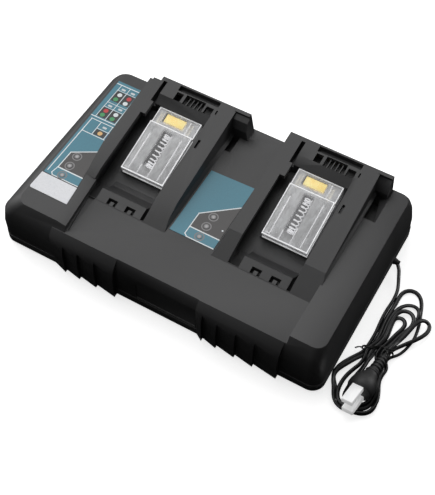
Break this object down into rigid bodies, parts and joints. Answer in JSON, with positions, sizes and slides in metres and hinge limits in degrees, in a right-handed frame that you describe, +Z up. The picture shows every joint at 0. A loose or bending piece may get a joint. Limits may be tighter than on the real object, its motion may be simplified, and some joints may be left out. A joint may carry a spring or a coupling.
{
  "type": "power tool battery charger",
  "caption": "Power tool battery charger with sloping slide-in bays, clear sprung terminal covers, status lights, blank printed labels and a tied mains cord with its plug.",
  "frame": {"origin": "on the table, under the middle of the case, cord and plug left out; the middle between the two bays is 6.5 mm to +X and 1.5 mm to +Y of it", "axes": "+X towards the side the cord leaves from, -Y towards the ribbed front, +Z up"},
  "size_m": [0.404, 0.2152, 0.0785],
  "materials": {
    "case_plastic": "fine satin grain",
    "holder_plastic": "satin",
    "clear_plastic": "clear, slightly frosted",
    "spring_steel": "bright drawn wire",
    "cream_plastic": "satin",
    "contact_metal": "plated",
    "label_film": "printed film",
    "sticker_film": "blank silvery film",
    "lens_plastic": "translucent",
    "circuit_board": "solder mask",
    "fan_plastic": "satin",
    "winding": "taped winding",
    "capacitor_sleeve": "shrunk sleeve",
    "fuse_glass": "glazed",
    "heat_sink_metal": "extruded",
    "relay_plastic": "gloss",
    "buzzer_plastic": "gloss",
    "screw_steel": "zinc",
    "foot_rubber": "matte",
    "clamp_plastic": "satin",
    "cord_rubber": "satin sheath",
    "blade_metal": "plated",
    "sleeve_plastic": "milky, translucent"
  },
  "bodies": {
    "base": {"lower_shell": "case_plastic", "upper_shell": "case_plastic", "left_bay_cradle": "case_plastic", "right_bay_cradle": "case_plastic", "left_terminal_holder": "holder_plastic", "right_terminal_holder": "holder_plastic", "left_return_spring": "spring_steel", "right_return_spring": "spring_steel", "left_signal_connector": "cream_plastic", "right_signal_connector": "cream_plastic", "left_power_contacts": "contact_metal", "right_power_contacts": "contact_metal", "left_label": "label_film", "blank_sticker": "sticker_film", "centre_label": "label_film", "left_status_lenses": "lens_plastic", "centre_status_lenses": "lens_plastic", "left_light_board": "circuit_board", "centre_light_board": "circuit_board", "left_fan_frame": "fan_plastic", "right_fan_frame": "fan_plastic", "main_board": "circuit_board", "transformer": "winding", "filter_capacitor": "capacitor_sleeve", "output_capacitors": "capacitor_sleeve", "line_choke": "winding", "fuse": "fuse_glass", "left_heat_sink": "heat_sink_metal", "right_heat_sink": "heat_sink_metal", "relays": "relay_plastic", "buzzer": "buzzer_plastic", "board_screws": "screw_steel", "case_screws": "screw_steel", "rubber_feet": "foot_rubber", "cord_clamp": "clamp_plastic", "cord_strain_relief": "cord_rubber", "mains_cord": "cord_rubber", "cord_hank": "cord_rubber", "cord_tie": "cord_rubber", "plug_body": "cord_rubber", "plug_strain_relief": "cord_rubber", "plug_blades": "blade_metal", "blade_sleeves": "sleeve_plastic"},
    "left_cover": {"left_terminal_cover": "clear_plastic"},
    "right_cover": {"right_terminal_cover": "clear_plastic"},
    "left_fan": {"left_fan_rotor": "fan_plastic"},
    "right_fan": {"right_fan_rotor": "fan_plastic"}
  },
  "joints": [
    {"name": "left_cover_slide", "type": "slide", "parent": "base", "child": "left_cover", "axis": [0, 0.9781, 0.2079], "range_m": [0, 0.018], "stiffness_N_per_m": 60, "springref_m": -0.01, "deforming": ["left_return_spring"]},
    {"name": "right_cover_slide", "type": "slide", "parent": "base", "child": "right_cover", "axis": [0, 0.9781, 0.2079], "range_m": [0, 0.018], "stiffness_N_per_m": 60, "springref_m": -0.01, "deforming": ["right_return_spring"]},
    {"name": "left_fan_spin", "type": "hinge", "parent": "base", "child": "left_fan", "pos_m": [-0.07, 0.0615, 0.01], "axis": [0, 0, 1], "continuous": true},
    {"name": "right_fan_spin", "type": "hinge", "parent": "base", "child": "right_fan", "pos_m": [0.083, 0.0615, 0.01], "axis": [0, 0, 1], "continuous": true}
  ]
}
